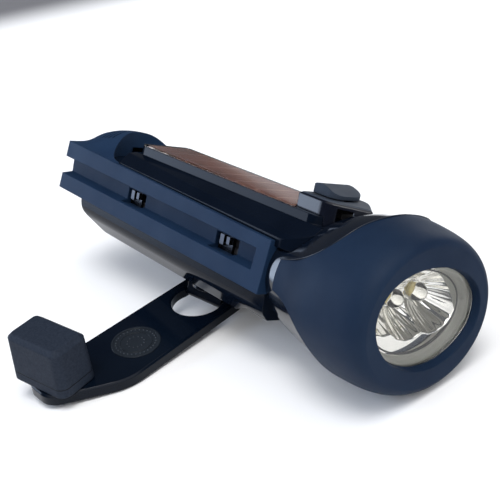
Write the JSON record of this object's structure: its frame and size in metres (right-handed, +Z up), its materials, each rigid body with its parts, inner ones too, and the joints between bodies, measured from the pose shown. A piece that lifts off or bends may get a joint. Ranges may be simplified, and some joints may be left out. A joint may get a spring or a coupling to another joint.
{
  "type": "hand crank flashlight",
  "caption": "Slim hand crank flashlight with an oval lamp head, solar panel, slide switch, side mounting channels and a folding crank.",
  "frame": {"origin": "centre of the bounding box at the table that the flashlight lies on", "axes": "+X along the body towards the lamp, +Z up from the table; the light lies on its crank hinge, crank tip and lamp rim, rolled 23.0 degrees and pitched 4.7 degrees from level"},
  "size_m": [0.1628, 0.0982, 0.0506],
  "materials": {
    "soft_touch_shell": "matte soft-touch coat",
    "gloss_housing": "moulded gloss",
    "boot_rubber": "satin rubber",
    "knob_rubber": "matte rubber",
    "clear_cover": "clear gloss",
    "solar_film": "brown photovoltaic sheet",
    "reflector_chrome": "vacuum plated",
    "led_epoxy": "clear epoxy",
    "circuit_board": "solder mask",
    "board_black": "moulded matte",
    "cell_sleeve": "shrink sleeve",
    "steel": "plated steel",
    "iron": "laminated iron",
    "magnet": "sintered",
    "copper_wire": "enamelled wire",
    "bearing_bronze": "sintered bronze",
    "gear_plastic": "acetal",
    "inner_plastic": "moulded matte",
    "badge_plastic": "gloss inlay"
  },
  "bodies": {
    "housing": {"grip_shell": "soft_touch_shell", "rail_latches": "steel", "top_deck": "gloss_housing", "solar_cell": "solar_film", "panel_cover": "clear_cover", "lower_housing": "gloss_housing", "housing_screws": "steel", "hub_bushing": "bearing_bronze", "front_housing": "gloss_housing", "head_boot": "boot_rubber", "lens": "clear_cover", "reflector": "reflector_chrome", "leds": "led_epoxy", "led_board": "circuit_board", "switch_housing": "gloss_housing", "contact_block": "board_black", "main_board": "circuit_board", "board_parts": "board_black", "battery_cells": "cell_sleeve", "battery_tray": "inner_plastic", "battery_contacts": "steel", "gearbox_plate": "inner_plastic", "idler_axle": "steel", "stator_core": "iron", "stator_coils": "copper_wire", "generator_cap": "inner_plastic"},
    "switch": {"switch_slider": "inner_plastic", "switch_pad": "knob_rubber"},
    "crank": {"crank_hub": "gloss_housing", "drive_gear": "gear_plastic", "drive_screw": "steel", "fold_pin": "steel"},
    "arm": {"crank_arm": "gloss_housing", "arm_badge": "badge_plastic", "knob_axle": "steel"},
    "knob": {"knob_core": "inner_plastic", "knob_cover": "knob_rubber"},
    "idler": {"idler_gear": "gear_plastic"},
    "rotor": {"rotor_pinion": "gear_plastic", "rotor_shaft": "steel", "rotor_magnet": "magnet"}
  },
  "joints": [
    {"name": "crank_spin", "type": "hinge", "parent": "housing", "child": "crank", "pos_m": [-0.00936, 0.01508, 0.00571], "axis": [0.0751, 0.3912, 0.9172], "continuous": true},
    {"name": "arm_fold", "type": "hinge", "parent": "crank", "child": "arm", "pos_m": [-0.00936, 0.01508, 0.00571], "axis": [0.9661, 0.1992, -0.164], "range_deg": [-8, 156]},
    {"name": "knob_spin", "type": "hinge", "parent": "arm", "child": "knob", "pos_m": [-0.00588, -0.04031, 0.00466], "axis": [0.169, -0.0081, 0.9856], "continuous": true},
    {"name": "switch_slide", "type": "slide", "parent": "housing", "child": "switch", "axis": [0.9967, 0, -0.0816], "range_m": [0, 0.0035]},
    {"name": "idler_spin", "type": "hinge", "parent": "housing", "child": "idler", "pos_m": [-0.02339, 0.0251, 0.0305], "axis": [0.0751, 0.3912, 0.9172], "continuous": true},
    {"name": "rotor_spin", "type": "hinge", "parent": "housing", "child": "rotor", "pos_m": [-0.03774, 0.0251, 0.03168], "axis": [0.0751, 0.3912, 0.9172], "continuous": true}
  ],
  "couplings": [
    {"joint": "idler_spin", "follows": "crank_spin", "ratio": -4},
    {"joint": "rotor_spin", "follows": "crank_spin", "ratio": 14}
  ]
}
